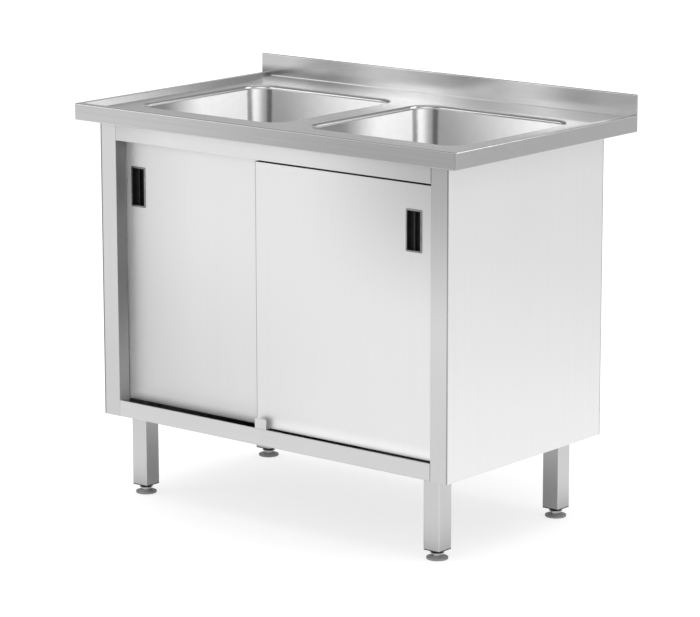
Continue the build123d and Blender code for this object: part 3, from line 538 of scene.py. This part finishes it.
def bowl_tone(tree, place, facing):
    """Painted reflection and highlight: a drawn bowl's round corners are banded, dark beside
    bright, and the walls get brighter away from the front."""
    bowl_centre = 0.228
    further_back = 0.035
    normal = node(tree, "SeparateXYZ", {0: node(tree, "NewGeometry").outputs["Normal"]}).outputs
    in_right = node(tree, "Math", {0: place[0], 1: 0.0}, operation="GREATER_THAN").outputs[0]
    # Painted reflection: round the rear left corner, which goes from 0 to 1 and back, two dark
    # stripes.
    around = times(tree, normal[0], normal[1], -2.0)
    outer = fade(tree, around, 0.12, 0.42, 0.0, 1.0)
    inner = fade(tree, around, 0.6, 0.88, 0.0, 1.0)
    stripes = node(tree, "Math", {0: outer, 1: inner}, operation="SUBTRACT").outputs[0]
    banded = node(tree, "Mix", {0: stripes, 2: 1.0, 3: 0.34}, data_type="FLOAT").outputs[0]
    # Painted highlight: the left wall gets brighter to the back, in the right bowl a little further
    # back.
    on_left_wall = fade(tree, normal[0], 0.6, 0.9, 0.0, 1.0)
    depth = node(tree, "Math", {0: in_right, 1: -further_back, 2: place[1]},
                 operation="MULTIPLY_ADD").outputs[0]
    backward = fade(tree, depth, -0.12, 0.02, 0.25, 1.1)
    left = node(tree, "Mix", {0: on_left_wall, 2: 1.0, 3: backward}, data_type="FLOAT").outputs[0]
    # Painted highlight: the rear wall gets brighter to the right, counted from the middle of its
    # own bowl.
    on_rear_wall = fade(tree, normal[1], -0.9, -0.6, 1.0, 0.0)
    from_left = node(tree, "Math", {0: place[0], 1: bowl_centre}, operation="ADD").outputs[0]
    across = node(tree, "Math", {0: in_right, 1: -2 * bowl_centre, 2: from_left},
                  operation="MULTIPLY_ADD").outputs[0]
    rightward = fade(tree, across, -0.15, 0.12, 0.42, 1.15)
    rear = node(tree, "Mix", {0: on_rear_wall, 2: 1.0, 3: rightward}, data_type="FLOAT").outputs[0]
    return times(tree, left, rear, banded)


toned(satin_bowl, bowl_tone)
dress(satin_bowl, "left_bowl", "right_bowl")

# ---------------------------------------------------------------- wastes
# Pressed stainless strainer cups, mirror polished, sealed to the bowl by a rubber
# ring and held from below by a winged plastic nut.
# Mirror-polished stainless: clear, bright reflections.
mirror_waste = plated("mirror_polished_stainless", "#E0E0E0", "#D4D4D4", 0.09, 3.0, 0.004)
# Moulded rubber: a dull near-black without highlights.
black_rubber = moulded("moulded_black_rubber", "#202021", "#2E2E2F", 0.62, 0.8, 0.03, specular=0.35)
# Moulded polypropylene: a slightly waxy black.
black_polypropylene = moulded("moulded_black_polypropylene", "#222224", "#343437", 0.5, 0.7, 0.03)
for side in ("left", "right"):
    dress(mirror_waste, side + "_waste")
    dress(black_rubber, side + "_waste_gasket")
    dress(black_polypropylene, side + "_waste_nut")

# ---------------------------------------------------------------- door track
# Extruded aluminium track with two lanes, screwed up into the top rail, with
# rubber stops at the ends of its lanes. The folded stainless guide
# on the bottom rail keeps both doors upright.
# Black anodised aluminium, its black also painted shade: the gap over the front door shows as
# # one solid black line.
black_aluminium = plated("black_anodised_aluminium_and_gap_shade", "#161617", "#111112", 0.45, 1.0, 0.01)
dress(black_aluminium, "door_track")
dress(bright_zinc, "track_screws")
dress(black_rubber, "track_stops")
# Ground stainless, cut small: a little greyer than the rail that it stands on.
ground_guide = ground_stainless(
    "ground_stainless_guide", "#DCDCDC", "#D6D6D6", "z", 0.8, 120.0, 0.48, 0.03)
dress(ground_guide, "centre_guide")

# ---------------------------------------------------------------- doors
# Two sliding doors, each a folded outer tray of ground stainless with an upright
# grain and a flat inner sheet. They hang on pressed steel brackets with polyamide
# rollers.
# Ground stainless sheet: the palest of the fronts, with the softest reflections.
ground_door = ground_stainless(
    "ground_stainless_door", "#F2F2F2", "#F0F0F0", "z", 0.8, 140.0, 0.5, 0.03,
    pull=(1.0, 1.0, 0.02), anisotropy=0.2)


def door_tone(tree, place, facing):
    """Painted shade: darker towards the lower left, with a dark line down the front door's free
    edge and a black one along its foot, where its folds turn away into the lane."""
    between_lanes = -0.25
    free_edge = -0.0405
    hem_height = 0.2092
    brightest = 1.12
    dull_foot = fade(tree, place[0], -0.3, 0.3, 0.84, 0.95)
    climb = fade(tree, place[2], 0.25, 0.65, 0.0, 1.0)
    low = node(tree, "Mix", {0: climb, 2: dull_foot, 3: 1.0}, data_type="FLOAT").outputs[0]
    left = fade(tree, place[0], -0.36, -0.2, 0.93, 1.0)
    # Painted light: paler by the post and the rail, to lift the shade they cast there.
    by_post = fade(tree, place[0], -0.42, -0.37, 1.2, 1.0)
    by_rail = fade(tree, place[2], 0.21, 0.24, 1.2, 1.0)
    front = node(tree, "Math", {0: place[1], 1: between_lanes}, operation="LESS_THAN").outputs[0]
    at_edge = node(tree, "Math", {0: place[0], 1: free_edge}, operation="LESS_THAN").outputs[0]
    at_hem = node(tree, "Math", {0: place[2], 1: hem_height}, operation="LESS_THAN").outputs[0]
    line = node(tree, "Mix", {0: times(tree, front, at_edge), 2: 1.0, 3: 0.55}, data_type="FLOAT")
    hem = node(tree, "Mix", {0: times(tree, front, at_hem), 2: 1.0, 3: 0.04}, data_type="FLOAT")
    tone = times(tree, corner_tone(tree, place), low, left, by_post, by_rail,
                 line.outputs[0], hem.outputs[0])
    return node(tree, "Math", {0: tone, 1: brightest}, operation="MINIMUM").outputs[0]


toned(ground_door, door_tone)
# Turned polyamide: a waxy off-white.
white_polyamide = moulded("turned_white_polyamide", "#D9D6CE", "#C6C2B8", 0.4, 0.6, 0.01)
# Black passivated zinc on pressed steel: a dark, low shine, its dark also painted shade that goes
# # with the track's gap.
black_zinc = plated("black_passivated_zinc_and_gap_shade", "#1A1A1B", "#131314", 0.42, 1.0, 0.02)
for side in ("left_door", "right_door"):
    dress(ground_door, side + "_outer_skin")
    dress(mill_stainless, side + "_inner_skin")
    dress(black_zinc, side + "_left_hanger", side + "_right_hanger", side + "_hanger_screws")
    dress(white_polyamide, side + "_left_roller", side + "_right_roller")

# ---------------------------------------------------------------- pulls
# Flush pulls: a moulded black cup pushed through the door's skin, with one upright
# rib, behind a thin pressed stainless frame.
# Moulded ABS: black, with a soft shine on its rib.
black_abs = moulded("moulded_black_abs", "#171718", "#232325", 0.32, 0.5, 0.015)
# Pressed stainless: a mid grey rim that stands out from the pale door.
pressed_frame = plated("pressed_stainless_frame", "#9C9C9C", "#858585", 0.3, 1.0, 0.01)
for side in ("left_door", "right_door"):
    dress(black_abs, side + "_pull_cup")
    dress(pressed_frame, side + "_pull_frame")

# ---------------------------------------------------------------- studio
# A pale seamless floor, a plain surround and soft lamps: a wide panel overhead, a weaker one
# at the front left, two behind the unit that only its gloss shows, and one from the right
# for the bowls' walls.
floor_size = 40.0
floor_mesh = bpy.data.meshes.new("studio_floor")
shape = bmesh.new()
bmesh.ops.create_grid(shape, x_segments=1, y_segments=1, size=floor_size / 2)
shape.to_mesh(floor_mesh)
shape.free()
floor = bpy.data.objects.new("studio_floor", floor_mesh)
bpy.context.scene.collection.objects.link(floor)

# Seamless paper. The camera sees it white, with the unit's shadow mixed in near the unit.
# # Glossy faces see a painted pool of light on it, brighter close by than far off, and a
# # painted shadow under the cabinet.
paper, tree = new_material("studio_floor_paper")
rays = node(tree, "LightPath").outputs
clear = node(tree, "Math", {0: rays["Is Camera Ray"], 1: rays["Is Transmission Ray"]},
             operation="MAXIMUM").outputs[0]
place = node(tree, "TexCoord").outputs["Object"]
fibre = node(tree, "TexNoise", {"Vector": place, "Scale": 900.0, "Detail": 2.0})
tone = node(tree, "MapRange", {0: fibre.outputs[0], 1: 0.3, 2: 0.7, 3: 0.88, 4: 0.9})
diffuse = node(tree, "BsdfDiffuse", {"Color": tone.outputs[0]}).outputs[0]
white = node(tree, "Emission", {"Color": linear("#FFFFFF"), "Strength": 1.24}).outputs[0]
distance = node(tree, "VectorMath", {0: place}, operation="LENGTH").outputs["Value"]
near = fade(tree, distance, 0.3, 0.95, 0.56, 1.0)
for_camera = node(tree, "MixShader", {0: near, 1: diffuse, 2: white}).outputs[0]

cabinet_half = (0.58, 0.37)
spot = node(tree, "SeparateXYZ", {0: place}).outputs
shares = []
for reach, half in zip(spot, cabinet_half):
    share = node(tree, "Math", {0: reach, 1: half}, operation="DIVIDE").outputs[0]
    shares.append(node(tree, "Math", {0: share}, operation="ABSOLUTE").outputs[0])
outside = node(tree, "Math", {0: shares[0], 1: shares[1]}, operation="MAXIMUM").outputs[0]
under = fade(tree, outside, 0.55, 1.1, 0.22, 1.0)
fall = fade(tree, distance, 1.2, 3.9, 1.2, 0.6)
leftward = fade(tree, spot[0], -3.1, -2.0, 1.5, 1.0)
mirrored = node(tree, "Emission", {
    "Color": linear("#FFFFFF"), "Strength": times(tree, fall, leftward, under)}).outputs[0]
for_gloss = node(tree, "MixShader", {0: 0.8, 1: diffuse, 2: mirrored}).outputs[0]
bounced = node(tree, "MixShader", {0: rays["Is Glossy Ray"], 1: diffuse, 2: for_gloss}).outputs[0]
seen = node(tree, "MixShader", {0: clear, 1: bounced, 2: for_camera}).outputs[0]
node(tree, "OutputMaterial", {"Surface": seen})
floor_mesh.materials.append(paper)

# The surround is white to the camera. Glossy faces see a low band that is brighter to the
# right and dimmer to the rear left, a bright front, and a soft light at the zenith.
world = bpy.data.worlds.new("studio")
bpy.context.scene.world = world
world.use_nodes = True
tree = world.node_tree
tree.nodes.clear()
rays = node(tree, "LightPath").outputs
clear = node(tree, "Math", {0: rays["Is Camera Ray"], 1: rays["Is Transmission Ray"]},
             operation="MAXIMUM").outputs[0]
way = node(tree, "TexCoord").outputs["Generated"]
height = node(tree, "SeparateXYZ", {0: way}).outputs[2]
rightwards = node(tree, "VectorMath", {0: way, 1: (0.636, 0.771, 0.0)}, operation="DOT_PRODUCT")
leftwards = node(tree, "VectorMath", {0: way, 1: (-0.636, 0.771, 0.0)}, operation="DOT_PRODUCT")
right_level = fade(tree, rightwards.outputs["Value"], -0.8, 0.8, 0.62, 1.5)
left_level = fade(tree, leftwards.outputs["Value"], 0.2, 0.9, 0.0, -0.52)
front_level = fade(tree, leftwards.outputs["Value"], -0.95, -0.7, 1.3, 0.0)
high_level = 0.3
low_level = node(tree, "Math", {0: right_level, 1: left_level}, operation="ADD").outputs[0]
climb = fade(tree, height, 0.05, 0.42, 0.0, 1.0)
sky = node(tree, "Mix", {0: climb, 2: low_level, 3: high_level}, data_type="FLOAT").outputs[0]
zenith = fade(tree, height, 0.72, 0.95, 0.0, 0.45)
for level in (front_level, zenith):
    sky = node(tree, "Math", {0: sky, 1: level}, operation="ADD").outputs[0]
matt, gloss, backdrop = [
    node(tree, "Background", {"Color": linear("#FFFFFF"), "Strength": strength}).outputs[0]
    for strength in (0.8, sky, 1.0)]
bounced = node(tree, "MixShader", {0: rays["Is Glossy Ray"], 1: matt, 2: gloss}).outputs[0]
seen = node(tree, "MixShader", {0: clear, 1: bounced, 2: backdrop}).outputs[0]
node(tree, "OutputWorld", {"Surface": seen})


def softbox(name, place, target, width, height, power, on_matt=True, on_gloss=True):
    """A rectangular soft lamp, aimed at a point."""
    data = bpy.data.lights.new(name, "AREA")
    data.shape = "RECTANGLE"
    data.size = width
    data.size_y = height
    data.energy = power
    lamp = bpy.data.objects.new(name, data)
    lamp.location = place
    lamp.rotation_euler = (Vector(target) - Vector(place)).to_track_quat("-Z", "Y").to_euler()
    lamp.visible_diffuse = on_matt
    lamp.visible_glossy = on_gloss
    lamp.visible_camera = False
    bpy.context.scene.collection.objects.link(lamp)
    return lamp


softbox("overhead_panel", (0.0, 0.0, 3.4), (0.0, 0.0, 0.8), 3.2, 3.2, 34.0, on_gloss=False)
softbox("front_left_panel", (-2.6, -3.0, 1.8), (0.0, 0.0, 0.6), 1.8, 1.8, 18.0)
softbox("rear_panel", (-1.4, 1.45, 2.3), (-0.4, -0.2, 0.8), 0.5, 0.4, 1.0, on_matt=False)
softbox("rear_right_panel", (1.5, 1.2, 2.1), (0.0, 0.0, 0.75), 0.9, 0.9, 14.0, on_matt=False)
# A lamp from the right, with flags that let its light reach only the bowls.
bowl_panel = softbox("bowl_panel", (2.4, 0.0, 1.9), (-0.2, 0.0, 0.75), 0.8, 0.8, 24.0,
                     on_gloss=False)
bowl_targets = bpy.data.collections.new("bowl_lamp_targets")
for side in ("left", "right"):
    bowl_targets.objects.link(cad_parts[side + "_bowl"])
bowl_panel.light_linking.receiver_collection = bowl_targets
bpy.context.scene.view_settings.view_transform = "Standard"
